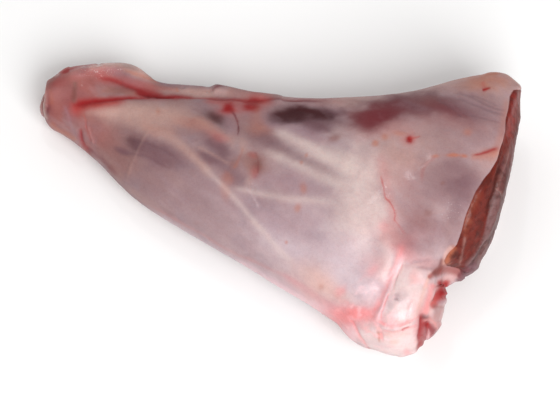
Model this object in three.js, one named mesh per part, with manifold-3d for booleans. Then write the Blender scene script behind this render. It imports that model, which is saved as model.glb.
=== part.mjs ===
// A raw lamb shank lying on its side: one muscle body in its pale fascia, and the bone that runs through it.
// Millimetres, +Z up. +X runs from the narrow hock to the butcher's cut, +Y towards the calf side.
// The shank rests on z = 0, on the flat that its own weight presses into the underside.
import * as THREE from "three";
import { mergeVertices } from "three/addons/utils/BufferGeometryUtils.js";
import Module from "manifold-3d";

const wasm = await Module();
wasm.setup();

// Driving sizes.
const LENGTH = 185; // hock tip to the bulge of the cut face
const WIDTH = 122; // calf corner to knuckle, across the cut end
const THICKNESS = 50; // crown of the calf above the table

// How the two pieces meet and how finely they are faceted.
const BONE_GAP = 0.35; // clearance between the bone and the flesh round it
const FLESH_AROUND = 64;
const CAP_RINGS = 6; // rings over the rounded hock
const BODY_RINGS = 46; // rings from the hock to the rim of the cut
const FACE_RINGS = 12; // rings over the cut face
const BONE_AROUND = 22;
const BONE_RINGS = 34;
const WELD = 1e-3; // vertices closer than this become one

// Edge lines of the flesh as shares of [LENGTH, WIDTH, THICKNESS]. The two lists pair up, station by station,
// so that each section runs straight across from the calf edge to the shin edge.
const CALF_EDGE = [
  [-0.006, 0.182, 0.22], // hock tip
  [0.012, 0.227, 0.23],
  [0.075, 0.268, 0.24], // heel bump, where the tendon ends
  [0.146, 0.289, 0.26],
  [0.204, 0.253, 0.28],
  [0.31, 0.266, 0.32],
  [0.46, 0.264, 0.42], // waist of the calf
  [0.61, 0.298, 0.5],
  [0.75, 0.363, 0.56],
  [0.862, 0.455, 0.58],
  [0.935, 0.498, 0.57],
  [0.975, 0.474, 0.55], // calf corner of the cut
];
const SHIN_EDGE = [
  [0.022, 0.024, 0.2],
  [0.06, 0.004, 0.2],
  [0.13, -0.05, 0.2],
  [0.2, -0.121, 0.22],
  [0.256, -0.166, 0.22],
  [0.36, -0.224, 0.24],
  [0.5, -0.294, 0.28],
  [0.63, -0.37, 0.32],
  [0.745, -0.43, 0.36], // behind the knuckle
  [0.84, -0.35, 0.38],
  [0.905, -0.19, 0.38],
  [0.932, -0.13, 0.4], // foot of the cut
];
// Height of the upper surface above the table at the same stations, as a share of THICKNESS.
const CROWN = [0.43, 0.45, 0.48, 0.5, 0.54, 0.62, 0.75, 0.86, 0.95, 1.0, 0.985, 0.95];

// Section shape.
const UPPER_FULLNESS = 0.8; // power of the upper curve: below 1 is boxier than an ellipse
const LOWER_FULLNESS = 0.95;
const PRESSED = 1.6; // how far the underside would sink below the table if it weren't flattened
const HOCK_ROUNDING = 3.5; // length of the rounded hock cap
const RELIEF_FADE = 0.6; // how far up from an edge the relief reaches its full height
const CAP_FULLNESS = 0.7; // power of the cap's curve: below 1 is blunter than a dome

// The cut face: where it stands along X at mid height, and how its rim differs from that.
const CUT_AT = 0.993 * LENGTH;
const CUT_MIDDLE = 0.11 * WIDTH; // where across the face it stands furthest out
const CUT_FALL = { calf: 4.5, foot: 10 }; // how far it falls back at half a width to either side
const CUT_LEAN = 3; // upper rim cut back further than the lower one
const FACE_BULGE = 1.5; // meat standing proud of its skin rim
const FACE_EASE = 0.35; // share of the way in from the rim over which the meat comes out to the face
const FACE_MIDDLE_UP = 0.46 * THICKNESS;
const RIM_PULL_FROM = 0.45; // share of the body from which it is drawn out towards the rim
const SKIN_SCOOP = { across: -0.09, spread: 0.13, depth: 5 }; // upper skin drawn back from the meat

// Hollows and swellings of the upper surface: lines in the plan, as shares of LENGTH and WIDTH,
// with a half width and a height in millimetres.
const RELIEF = [
  { name: "tendon groove", from: [0.1, 0.19], to: [0.46, 0.23], half: 4, rise: -2.6 },
  { name: "heel hollow", from: [0.075, 0.1], to: [0.13, 0.16], half: 5, rise: -2 },
  { name: "tendon cord", from: [0.1, 0.245], to: [0.4, 0.25], half: 4, rise: 1.2 },
  { name: "calf hollow", from: [0.52, 0.2], to: [0.62, 0.2], half: 7, rise: -1.8 },
  { name: "shin muscle", from: [0.3, -0.02], to: [0.68, -0.22], half: 16, rise: 2.2 },
  { name: "calf muscle", from: [0.7, 0.14], to: [0.88, 0.2], half: 16, rise: 1.6 },
  { name: "joint furrow", from: [0.7, -0.35], to: [0.8, -0.14], half: 5, rise: -1.8 },
];

// The knuckle: rounded lobes of the joint's capsule, fused to the flesh. Centres are shares of
// [LENGTH, WIDTH, THICKNESS], half sizes are millimetres, and turn is about +Z in degrees.
const LOBE_AROUND = 32;
const LOBE_RINGS = 18;
const LOBE_FULLNESS = 0.85; // power of a lobe's curve: below 1 is boxier than an ellipsoid
const KNUCKLE = [
  { name: "joint capsule", at: [0.838, -0.325, 0.4], half: [14.8, 18.5, 19], turn: 0 },
  { name: "shin lobe", at: [0.785, -0.375, 0.37], half: [13, 10.5, 15.5], turn: -22 },
  { name: "knee tendon", at: [0.85, -0.275, 0.66], half: [9, 18, 8], turn: -14 },
];
// The hollow between the foot of the cut and the joint, given like a lobe.
const JOINT_CLEFT = { at: [0.948, -0.208, 0.5], half: [7, 5.5, 17], turn: 25 };

// The bone, from its lower end at the hock to the knee joint: shares of [LENGTH, WIDTH, THICKNESS],
// then half width and half height in millimetres.
const BONE = [
  { at: [-0.014, 0.103, 0.21], half: [6, 5.5] },
  { at: [0.05, 0.1, 0.23], half: [8, 7] },
  { at: [0.18, 0.02, 0.26], half: [7.5, 7] },
  { at: [0.42, -0.13, 0.32], half: [7, 7] },
  { at: [0.66, -0.25, 0.38], half: [8.5, 8.5] },
  { at: [0.82, -0.31, 0.4], half: [13.5, 14] },
  { at: [0.933, -0.315, 0.4], half: [12, 13] },
];
const HOCK_END = 0.035; // share of the bone's line over which its lower end closes
const KNEE_END = 0.07; // and its knee end

const shares = ([along, across, up]) => new THREE.Vector3(along * LENGTH, across * WIDTH, up * THICKNESS);
const smooth = (low, high, value) => THREE.MathUtils.smoothstep(value, low, high);

// A smooth curve through points, and a smooth value through numbers, both for t from 0 to 1.
const through = (points) => new THREE.CatmullRomCurve3(points, false, "centripetal");
const valueThrough = (numbers) => {
  const curve = new THREE.CatmullRomCurve3(numbers.map((n, i) => new THREE.Vector3(i, n, 0)), false, "catmullrom");
  return (t) => curve.getPoint(t).y;
};

const calfEdge = through(CALF_EDGE.map(shares));
const shinEdge = through(SHIN_EDGE.map(shares));
const crownAt = valueThrough(CROWN);

// A sphere's closed grid of rings, with every vertex moved to place(ring, turn): ring counts from pole to pole,
// and turn goes once round from 0 to 2 pi.
function drawnOut(around, rings, place) {
  const grid = new THREE.SphereGeometry(1, around, rings);
  const position = grid.getAttribute("position");
  for (let i = 0; i < position.count; i++) {
    const ring = Math.floor(i / (around + 1));
    const step = around - (i % (around + 1));
    const p = place(ring, (2 * Math.PI * (step % around)) / around);
    position.setXYZ(i, p.x, p.y, p.z);
  }
  grid.deleteAttribute("normal");
  grid.deleteAttribute("uv");
  return mergeVertices(grid, WELD);
}

// How far a plan point lies from a line's two ends.
function distanceToLine(x, y, from, to) {
  const line = new THREE.Line3(
    new THREE.Vector3(from[0] * LENGTH, from[1] * WIDTH, 0),
    new THREE.Vector3(to[0] * LENGTH, to[1] * WIDTH, 0),
  );
  const point = new THREE.Vector3(x, y, 0);
  return line.closestPointToPoint(point, true, new THREE.Vector3()).distanceTo(point);
}

function reliefAt(x, y) {
  let rise = 0;
  for (const form of RELIEF) {
    const reach = distanceToLine(x, y, form.from, form.to) / form.half;
    rise += form.rise * Math.exp(-reach * reach);
  }
  return rise;
}

// A point of the section at station t: turn 0 is the calf edge, pi the shin edge, and the upper side comes first.
function sectionPoint(t, turn) {
  const across = (1 - Math.cos(turn)) / 2;
  const p = calfEdge.getPoint(t).lerp(shinEdge.getPoint(t), across);
  const edge = p.z;
  const lift = Math.abs(Math.sin(turn));
  if (turn <= Math.PI) {
    p.z = edge + (crownAt(t) * THICKNESS - edge) * lift ** UPPER_FULLNESS;
    p.z += reliefAt(p.x, p.y) * smooth(0, RELIEF_FADE, lift);
  } else {
    p.z = Math.max(0, edge - (edge + PRESSED) * lift ** LOWER_FULLNESS);
  }
  return p;
}

// Where the cut face stands along X at mid height, for a place across it.
function faceAt(y) {
  const off = (y - CUT_MIDDLE) / (WIDTH / 2);
  return CUT_AT - (off > 0 ? CUT_FALL.calf : CUT_FALL.foot) * off * off;
}

// Where the skin ends at the cut: behind the face, and further behind on the upper side.
function rimAt(y, turn) {
  const upper = Math.max(0, Math.sin(turn));
  const scooped = (y / WIDTH - SKIN_SCOOP.across) / SKIN_SCOOP.spread;
  const scoop = SKIN_SCOOP.depth * Math.exp(-scooped * scooped);
  return faceAt(y) - FACE_BULGE - upper * (CUT_LEAN + scoop);
}

// A body point whose X is drawn out to the rim as t nears the cut.
function bodyPoint(t, turn) {
  const p = sectionPoint(t, turn);
  const end = sectionPoint(1, turn);
  const pull = smooth(RIM_PULL_FROM, 1, t);
  p.x += (rimAt(end.y, turn) - end.x) * pull;
  return p;
}

function fleshPoint(ring, turn) {
  if (ring < CAP_RINGS) {
    const open = ((ring / CAP_RINGS) * Math.PI) / 2;
    const first = sectionPoint(0, turn);
    const centre = sectionPoint(0, Math.PI / 2).add(sectionPoint(0, 1.5 * Math.PI)).multiplyScalar(0.5);
    const p = centre.clone().lerp(first, Math.sin(open) ** CAP_FULLNESS);
    p.x -= HOCK_ROUNDING * Math.cos(open) ** CAP_FULLNESS;
    return p;
  }
  const along = ring - CAP_RINGS;
  if (along <= BODY_RINGS) return bodyPoint(along / BODY_RINGS, turn);
  const inward = (along - BODY_RINGS) / FACE_RINGS;
  const rim = bodyPoint(1, turn);
  const middle = new THREE.Vector3(0, CUT_MIDDLE, FACE_MIDDLE_UP);
  const p = rim.clone().lerp(middle, inward);
  p.x = THREE.MathUtils.lerp(rim.x, faceAt(p.y), smooth(0, FACE_EASE, inward));
  return p;
}

// The bone as a drawn-out ball: its sections stand square to its own line, and grow makes it larger all over.
function boneGeometry(grow) {
  const line = through(BONE.map((b) => shares(b.at)));
  const wide = valueThrough(BONE.map((b) => b.half[0]));
  const high = valueThrough(BONE.map((b) => b.half[1]));
  const up = new THREE.Vector3(0, 0, 1);
  return drawnOut(BONE_AROUND, BONE_RINGS, (ring, turn) => {
    const t = (1 - Math.cos((Math.PI * ring) / BONE_RINGS)) / 2;
    const toEnd = Math.min(t / HOCK_END, (1 - t) / KNEE_END);
    const closing = toEnd < 1 ? Math.sqrt(1 - (1 - toEnd) ** 2) : 1;
    const along = line.getTangent(t);
    const side = new THREE.Vector3().crossVectors(along, up).normalize();
    const lift = new THREE.Vector3().crossVectors(side, along).normalize();
    const end = ring === 0 ? -grow : ring === BONE_RINGS ? grow : 0;
    return line
      .getPoint(t)
      .addScaledVector(along, end)
      .addScaledVector(side, -Math.cos(turn) * (wide(t) * closing + grow * Math.sign(closing)))
      .addScaledVector(lift, Math.sin(turn) * (high(t) * closing + grow * Math.sign(closing)));
  });
}

// One lobe or hollow of the knuckle: a ball made fuller, stretched to its half sizes, turned and set in place.
function lobeGeometry({ at, half, turn }) {
  const ball = new THREE.SphereGeometry(1, LOBE_AROUND, LOBE_RINGS);
  ball.deleteAttribute("normal");
  ball.deleteAttribute("uv");
  const position = ball.getAttribute("position");
  const fuller = (n) => Math.sign(n) * Math.abs(n) ** LOBE_FULLNESS;
  for (let i = 0; i < position.count; i++) {
    position.setXYZ(i, fuller(position.getX(i)), fuller(position.getY(i)), fuller(position.getZ(i)));
  }
  ball.scale(...half);
  ball.rotateZ(THREE.MathUtils.degToRad(turn));
  ball.translate(...shares(at).toArray());
  return mergeVertices(ball, WELD);
}

function solidOf(geometry) {
  const mesh = new wasm.Mesh({
    numProp: 3,
    vertProperties: geometry.getAttribute("position").array,
    triVerts: new Uint32Array(geometry.getIndex().array),
  });
  return new wasm.Manifold(mesh);
}

function geometryOf(solid) {
  const mesh = solid.getMesh();
  const geometry = new THREE.BufferGeometry();
  geometry.setAttribute("position", new THREE.BufferAttribute(mesh.vertProperties, 3));
  geometry.setIndex(new THREE.BufferAttribute(mesh.triVerts, 1));
  geometry.computeVertexNormals();
  return geometry;
}

const FASCIA = new THREE.MeshStandardMaterial({ color: 0xcfaeaa, roughness: 0.45, metalness: 0 });
const CARTILAGE = new THREE.MeshStandardMaterial({ color: 0xf0dfd8, roughness: 0.35, metalness: 0 });

const fleshRings = CAP_RINGS + BODY_RINGS + FACE_RINGS;
let flesh = solidOf(drawnOut(FLESH_AROUND, fleshRings, fleshPoint));
for (const lobe of KNUCKLE) flesh = flesh.add(solidOf(lobeGeometry(lobe)));
flesh = flesh.subtract(solidOf(lobeGeometry(JOINT_CLEFT)));
const fleshAroundBone = flesh.subtract(solidOf(boneGeometry(BONE_GAP)));

const meat = new THREE.Mesh(geometryOf(fleshAroundBone), FASCIA);
meat.name = "meat";
const bone = new THREE.Mesh(boneGeometry(0), CARTILAGE);
bone.name = "bone";
bone.geometry.computeVertexNormals();

// The frame's origin is on the table, under the middle of the whole shank.
const shank = new THREE.Group();
shank.name = "lamb_shank";
shank.add(meat, bone);
const box = new THREE.Box3().setFromObject(shank);
const middle = box.getCenter(new THREE.Vector3());
shank.position.set(-middle.x, -middle.y, -box.min.z);

export default shank;
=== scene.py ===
"""A raw lamb shank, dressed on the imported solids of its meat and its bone."""

import math
from typing import NamedTuple

import bmesh
import bpy
import numpy as np
from bpy.props import FloatProperty, FloatVectorProperty, IntProperty, PointerProperty
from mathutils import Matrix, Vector
from mathutils.bvhtree import BVHTree


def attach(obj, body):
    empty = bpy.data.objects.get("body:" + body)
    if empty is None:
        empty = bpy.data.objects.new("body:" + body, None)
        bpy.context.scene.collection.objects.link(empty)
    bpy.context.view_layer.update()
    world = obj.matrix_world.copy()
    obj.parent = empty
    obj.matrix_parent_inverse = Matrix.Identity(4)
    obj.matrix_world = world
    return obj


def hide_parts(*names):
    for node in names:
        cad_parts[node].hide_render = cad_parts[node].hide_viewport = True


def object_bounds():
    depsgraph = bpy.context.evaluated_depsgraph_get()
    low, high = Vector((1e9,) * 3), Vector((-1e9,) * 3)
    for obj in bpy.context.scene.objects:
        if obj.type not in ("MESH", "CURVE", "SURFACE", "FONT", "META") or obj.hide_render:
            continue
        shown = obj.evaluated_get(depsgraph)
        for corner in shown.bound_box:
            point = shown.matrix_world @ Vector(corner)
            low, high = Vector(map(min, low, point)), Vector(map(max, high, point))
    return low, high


bl_info = {
    "name": "Raw lamb shank",
    "version": (1, 0, 0),
    "blender": (4, 5, 0),
    "location": "3D View > Sidebar > Shank",
    "description": "Builds the meat, the bone and the stage of a raw lamb shank",
    "category": "Add Mesh",
}

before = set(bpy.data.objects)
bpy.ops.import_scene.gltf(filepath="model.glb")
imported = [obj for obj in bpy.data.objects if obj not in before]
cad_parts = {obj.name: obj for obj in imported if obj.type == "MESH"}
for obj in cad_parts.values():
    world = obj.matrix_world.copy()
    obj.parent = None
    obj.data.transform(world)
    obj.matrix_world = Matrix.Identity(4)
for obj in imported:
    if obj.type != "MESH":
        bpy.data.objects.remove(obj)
CAD_BOX = [list(corner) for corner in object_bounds()]
CAD_MIDDLE = (np.array(CAD_BOX[0]) + np.array(CAD_BOX[1])) / 2
MM = 0.001

# The picture's size in pixels and the camera's sensor in mm
PICTURE = (560, 420)
SENSOR = 36.0

# How far marks stray from their drawn places, and the width below which they need fine cells, in pixels
LINE_DRIFT = 1.6
PATCH_DRIFT = 6.0
FINE_MARK = 2.8

# The part of a line that fades at each end, and how ragged the edge of a patch is
END_FADE = 0.2
FEATHER = 0.3

# Gloss of dry film, and how near the bone a face of the meat is part of the bone's channel
DULL = 0.08
CHANNEL_GAP = 0.6 * MM

# Rounds of smoothing after the shown side's cells are split, and after those of the fine marks are
SHOWN_ROUNDS = 6
MARK_ROUNDS = 4

# The hock's end: its depth before and after its rim is swelled, the swell, and the bone's way out
HOCK_FLAT = 3 * MM
HOCK_ROUND = 4 * MM
HOCK_RIM = 1.4 * MM
BONE_PUSH = 1.7 * MM

# The floor's half width and how far it lies below the shank, and the tint of the light all round
FLOOR_HALF = 3.0
FLOOR_DROP = 0.2 * MM
SKY_TINT = (1.0, 0.985, 0.975, 1)

# Lights: share of the key light's power, width and place
LIGHTS = {
    "key": (1.0, 0.7, (0.5, -0.62, 0.8)),
    "fill": (0.16, 1.0, (-0.6, 0.5, 0.9)),
    "spark": (0.03, 0.05, (-0.15, 0.35, 0.9)),
}


# Settings that a user would change

def paint(words, red, green, blue):
    """A paint as it looks in the picture, from 0 to 255."""
    shown = (red / 255, green / 255, blue / 255)
    return FloatVectorProperty(name=words, description=words, default=shown, size=3, min=0, max=1,
                               subtype="COLOR_GAMMA")


class ShankPaints(bpy.types.PropertyGroup):
    """Colours of the tissues"""
    fascia: paint("Film over the shin", 194, 170, 173)
    veil: paint("Film over the muscle near the hock", 141, 111, 113)
    mist: paint("Bluish film low on the shin", 206, 188, 195)
    cream: paint("Thick cream fascia", 217, 196, 190)
    lavender: paint("Muscle under a thick film", 160, 131, 139)
    mauve: paint("Muscle under the film of the calf", 158, 127, 128)
    purple: paint("Muscle under a thin film", 116, 82, 89)
    haze: paint("Bluish grey film", 140, 122, 131)
    umber: paint("Brown muscle near the hock", 142, 97, 91)
    plum: paint("Dark red muscle under a thin film", 116, 44, 51)
    slate: paint("Deepest muscle, almost black", 62, 8, 15)
    rose: paint("Tissue round the hock", 162, 94, 89)
    tan: paint("Dry fascia at an edge", 186, 150, 141)
    peach: paint("Fat under the film near the knee", 226, 182, 170)
    coral: paint("Pink tissue round the knee", 240, 136, 136)
    blush: paint("Faint pink under the film", 202, 140, 137)
    white: paint("Tendon and capsule of the knee", 228, 203, 201)
    silk: paint("Pink white strand at the knee", 252, 214, 218)
    blood: paint("Blood in a crease or a vessel", 148, 14, 20)
    vessel: paint("Vessel under the film", 184, 66, 62)
    rust: paint("Dried speck", 184, 108, 80)
    cut: paint("Muscle at the butcher's cut", 108, 32, 21)
    cut_dark: paint("Deep grain of the cut", 66, 20, 14)
    seam: paint("Film between the muscles of the cut", 122, 90, 90)
    cartilage: paint("Cartilage on the bone's ends", 200, 172, 172)


class ShankSizes(bpy.types.PropertyGroup):
    """Sizes of the dressed pieces"""
    cell: FloatProperty(name="Cell", description="Edge of one cell of the meat's surface", default=0.00145,
                        min=0.0004, max=0.003, precision=5, unit="LENGTH")
    bone_cell: FloatProperty(name="Bone cell", description="Edge of one cell of the bone's surface",
                             default=0.0007, min=0.0004, max=0.003, precision=5, unit="LENGTH")
    rounds: IntProperty(name="Smoothing", description="Rounds of smoothing over the solids' facets",
                        default=12, min=0, max=200)
    relief: FloatProperty(name="Relief", description="Strength of the surface relief",
                          default=1.0, min=0, max=3)


class ShankStage(bpy.types.PropertyGroup):
    """Camera and light"""
    azimuth: FloatProperty(name="Azimuth", description="Camera's turn about the vertical",
                           default=math.radians(15), subtype="ANGLE")
    elevation: FloatProperty(name="Elevation", description="Camera's height above the horizon",
                             default=math.radians(66), subtype="ANGLE")
    distance: FloatProperty(name="Distance", description="Camera's distance from its aim", default=1.0,
                            unit="LENGTH")
    lens: FloatProperty(name="Lens", description="Focal length in millimetres", default=165.5, unit="CAMERA")
    aim: FloatVectorProperty(name="Aim", description="Camera's aim, right of and above the shank's middle",
                             default=(0.0070, -0.0173), size=2, subtype="TRANSLATION")
    key: FloatProperty(name="Key light", description="Power of the large light at the front", default=11.0,
                       unit="POWER")
    sky: FloatProperty(name="Sky", description="Strength of the even light all round", default=0.5)


def settings():
    """The scene's paints, sizes and stage."""
    scene = bpy.context.scene
    return scene.shank_paints, scene.shank_sizes, scene.shank_stage


def linear(shown):
    """A colour as it looks, turned into light."""
    shown = np.asarray(shown, dtype=float)
    return np.where(shown <= 0.04045, shown / 12.92, ((shown + 0.055) / 1.055) ** 2.4)


# Where the camera stands, and where a point falls in its picture

def camera_axes(stage):
    """The camera's right, its up and the way back to it."""
    turn, rise = stage.azimuth, stage.elevation
    back = np.array([math.sin(turn) * math.cos(rise), -math.cos(turn) * math.cos(rise), math.sin(rise)])
    right = np.array([math.cos(turn), math.sin(turn), 0.0])
    return right, np.cross(back, right), back


def camera_place(stage):
    """Where the camera stands."""
    right, up, back = camera_axes(stage)
    return CAD_MIDDLE + right * stage.aim[0] + up * stage.aim[1] + back * stage.distance


def picture_places(points, stage):
    """Pixel columns and rows where the camera shows the points."""
    right, up, back = camera_axes(stage)
    away = points - camera_place(stage)
    scale = stage.lens / SENSOR * PICTURE[0] / -(away @ back)
    return PICTURE[0] / 2 + (away @ right) * scale, PICTURE[1] / 2 - (away @ up) * scale


# Noise, smoothing and soft steps on arrays

# Large numbers that scatter the values of neighbouring cells and seeds
CELL_STEPS = np.array([374761393, 668265263, 1274126177])
SEED_STEP = 974634777
STIR = 1103515245

# Shares of a round of smoothing: in towards the neighbours, then back out
DRAW_IN = 0.6
DRAW_BACK = -0.61


def lattice(cells, seed):
    """A random value from 0 to 1 for each cell of a grid."""
    mixed = cells @ CELL_STEPS + seed * SEED_STEP
    mixed = (mixed ^ (mixed >> 13)) * STIR
    mixed = mixed ^ (mixed >> 16)
    return (mixed & 0xFFFF) / 0xFFFF


def grain(points, size, seed):
    """Smooth noise from -1 to 1 with one bump for each size."""
    scaled = points / size
    base = np.floor(scaled).astype(np.int64)
    part = scaled - base
    part = part * part * (3 - 2 * part)
    total = np.zeros(len(points))
    for corner in range(8):
        step = np.array([corner & 1, corner >> 1 & 1, corner >> 2 & 1])
        weight = np.prod(np.where(step, part, 1 - part), axis=1)
        total += weight * lattice(base + step, seed)
    return total * 2 - 1


def cloud(points, size, seed, layers=4):
    """Noise of several sizes, each half of the one before."""
    total = np.zeros(len(points))
    for layer in range(layers):
        total += grain(points, size / 2 ** layer, seed + layer) / 2 ** layer
    return total / 1.6


def soft(low, high, value):
    """A smooth step from 0 at the low value to 1 at the high one."""
    part = np.clip((value - low) / (high - low), 0, 1)
    return part * part * (3 - 2 * part)


def fading(reach, edge):
    """1 inside a reach of one and 0 outside it, over a step as hard as the edge."""
    return 1 / (1 + np.exp(np.clip((reach - 1) * edge * 1.6, -40, 40)))


def relaxed(points, edges, rounds):
    """Points drawn towards their neighbours and back, so that facets go and the size stays."""
    count = len(points)
    neighbours = np.bincount(edges.ravel(), minlength=count)[:, None]
    for turn in range(rounds):
        pull = DRAW_IN if turn % 2 == 0 else DRAW_BACK
        total = np.empty_like(points)
        for axis in range(3):
            total[:, axis] = np.bincount(edges[:, 0], points[edges[:, 1], axis], count)
            total[:, axis] += np.bincount(edges[:, 1], points[edges[:, 0], axis], count)
        points = points + pull * (total / neighbours - points)
    return points


# Directions along the leg, across it and up
FIBRES = np.array([[0.9, -0.43, 0.0], [0.43, 0.9, 0.0], [0.0, 0.0, 1.0]])


def drawn_out(places, along=1.0, across=1.0):
    """Places for noise that is drawn out along the leg or across it."""
    return places @ FIBRES.T * np.array([along, across, 1.0])


def along_leg(places):
    """Places for noise that follows the leg's fibres."""
    return drawn_out(places, along=0.3)


# Marks that are laid on the surface as the camera sees it

def curve_through(points, steps=5):
    """Points of a smooth line through a few given ones."""
    given = np.array([points[0], *points, points[-1]], dtype=float)
    line = []
    for i in range(len(points) - 1):
        a, b, c, d = given[i:i + 4]
        for t in np.linspace(0, 1, steps, endpoint=False):
            line.append(0.5 * (2 * b + (c - a) * t + (2 * a - 5 * b + 4 * c - d) * t ** 2
                               + (3 * b - a - 3 * c + d) * t ** 3))
    line.append(given[-2])
    return np.array(line)


class Patch(NamedTuple):
    """An oval of paint: centre and radii in pixels of the picture, turn in degrees, rise in mm."""
    words: str
    paint: str
    strength: float
    centre: tuple
    radii: tuple
    turn: float = 0
    edge: float = 2.0
    rise: float = 0


class Line(NamedTuple):
    """A stripe of paint: half widths at its ends and points in pixels, rise in mm, soft if its edge is 0."""
    words: str
    paint: str
    strength: float
    half: tuple
    points: list
    rise: float = 0
    edge: float = 0


class Canvas:
    """A surface laid out flat: paint, relief and gloss at every vertex."""

    def __init__(self, places, columns, rows, paints):
        self.places = places
        self.columns = columns
        self.rows = rows
        self.paints = paints
        self.facing = np.ones(len(places))
        self.seen = np.ones(len(places))
        self.drift = np.column_stack([cloud(places, 0.009, 3), cloud(places, 0.009, 7)])
        self.feather = cloud(along_leg(places), 0.004, 29)
        self.breaks = np.clip(0.8 + 0.9 * cloud(places, 0.005, 19), 0, 1.1)
        self.colour = np.zeros((len(places), 3))
        self.height = np.zeros(len(places))
        self.gloss = np.full(len(places), DULL)

    def line(self, mark):
        """How near each vertex is to a line: 1 on it, fading across it and towards its ends."""
        path = curve_through(mark.points)
        columns = self.columns + LINE_DRIFT * self.drift[:, 0]
        rows = self.rows + LINE_DRIFT * self.drift[:, 1]
        nearest = np.full(len(columns), np.inf)
        reached = np.zeros(len(columns))
        for step, (a, b, wide) in enumerate(zip(path[:-1], path[1:], np.linspace(*mark.half, len(path)))):
            dx, dy = b - a
            along = np.clip(((columns - a[0]) * dx + (rows - a[1]) * dy) / (dx * dx + dy * dy + 1e-9), 0, 1)
            gap = np.hypot(columns - a[0] - along * dx, rows - a[1] - along * dy) / wide
            closer = gap < nearest
            nearest[closer] = gap[closer]
            reached[closer] = (step + along[closer]) / (len(path) - 1)
        if mark.edge:
            return fading(nearest, mark.edge)
        ends = soft(-0.04, END_FADE, reached) * soft(1.04, 1 - END_FADE, reached)
        ragged = 0.6 * min(1, 1.4 / max(mark.half))
        worn = 1 - ragged + ragged * self.breaks
        return np.exp(-(nearest / worn) ** 2) * ends * worn

    def patch(self, mark):
        """How far inside a patch each vertex is: 1 well inside it, fading over its ragged edge."""
        c, s = math.cos(math.radians(mark.turn)), math.sin(math.radians(mark.turn))
        drift = PATCH_DRIFT * min(1, min(mark.radii) / 8)
        dx = self.columns + drift * self.drift[:, 0] - mark.centre[0]
        dy = self.rows + drift * self.drift[:, 1] - mark.centre[1]
        reach = np.hypot((dx * c + dy * s) / mark.radii[0], (dy * c - dx * s) / mark.radii[1])
        return fading(reach + FEATHER * self.feather, mark.edge)

    def mask(self, mark):
        """How strongly a mark covers each vertex."""
        return self.line(mark) if isinstance(mark, Line) else self.patch(mark)

    def lay(self, name, mask, strength=1.0):
        """Lays a paint over what is there, where it is seen."""
        mask = (np.clip(mask, 0, 1) * strength * self.seen)[:, None]
        self.colour = self.colour * (1 - mask) + linear(getattr(self.paints, name)) * mask

    def draw(self, marks):
        """Lays each mark's paint and relief, later marks over earlier ones."""
        for mark in marks:
            mask = self.mask(mark)
            self.lay(mark.paint, mask, mark.strength)
            self.height += mark.rise * MM * mask * self.seen

    def draw_behind(self, marks):
        """Draws marks that go on past the edge of what the camera sees."""
        shown = self.seen
        self.seen = soft(-0.8, -0.4, self.facing)
        self.draw(marks)
        self.seen = shown

    def shape(self, marks):
        """Moves the surface out or in along marks that have no paint, on every side."""
        for mark in marks:
            self.height += mark.rise * MM * self.mask(mark)

    def wet(self, marks):
        """Makes the marks glossy."""
        for mark in marks:
            self.gloss = np.maximum(self.gloss, self.mask(mark) * mark.strength * self.seen)


# Broad areas of the shown side
BROAD = [
    Patch("shin below the star", "lavender", 0.5, (262, 212), (48, 18), 30, 1.9),
    Patch("shin above the knee", "mist", 0.95, (350, 264), (44, 30), 40),
    Patch("cream over the knee", "white", 0.7, (374, 214), (16, 26), 8),
    Patch("shin's middle", "lavender", 0.35, (316, 228), (40, 18), 26, 1.9),
    Patch("light shin", "mist", 0.62, (286, 250), (34, 14), 34),
    Patch("cream fascia", "cream", 1.0, (367, 188), (26, 48), 4, 2.0, 0.3),
    Patch("cream's heart", "white", 0.5, (370, 186), (16, 36), 6, 1.9),
    Patch("cream fascia's arm", "cream", 0.6, (330, 152), (44, 14), 26, 2.0, 0.2),
    Patch("cream above the arm", "cream", 0.3, (345, 138), (20, 10), 10),
    Patch("calf", "mauve", 0.95, (446, 188), (54, 56), -15, 2.2),
    Patch("upper calf", "mauve", 0.85, (446, 128), (66, 24), 2, 2.2),
    Patch("right calf", "mauve", 0.9, (486, 116), (26, 24), 10, 2.2),
    Patch("pink left of the calf", "blush", 0.3, (400, 166), (16, 28), 0, 1.9),
    Patch("pale field of the calf", "tan", 0.6, (404, 148), (32, 20), -4),
    Patch("pale rim of the cut", "tan", 0.45, (482, 162), (18, 10), -30),
    Patch("upper edge of the shin", "tan", 0.4, (220, 92), (88, 7), 2, 2.4),
    Patch("upper edge of the calf", "tan", 0.55, (400, 92), (74, 6), -8, 2.4),
    Patch("corner", "tan", 0.95, (488, 82), (34, 11), 6, 2.4),
    Patch("corner's fat", "rust", 0.6, (486, 80), (34, 11), 4),
]

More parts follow.
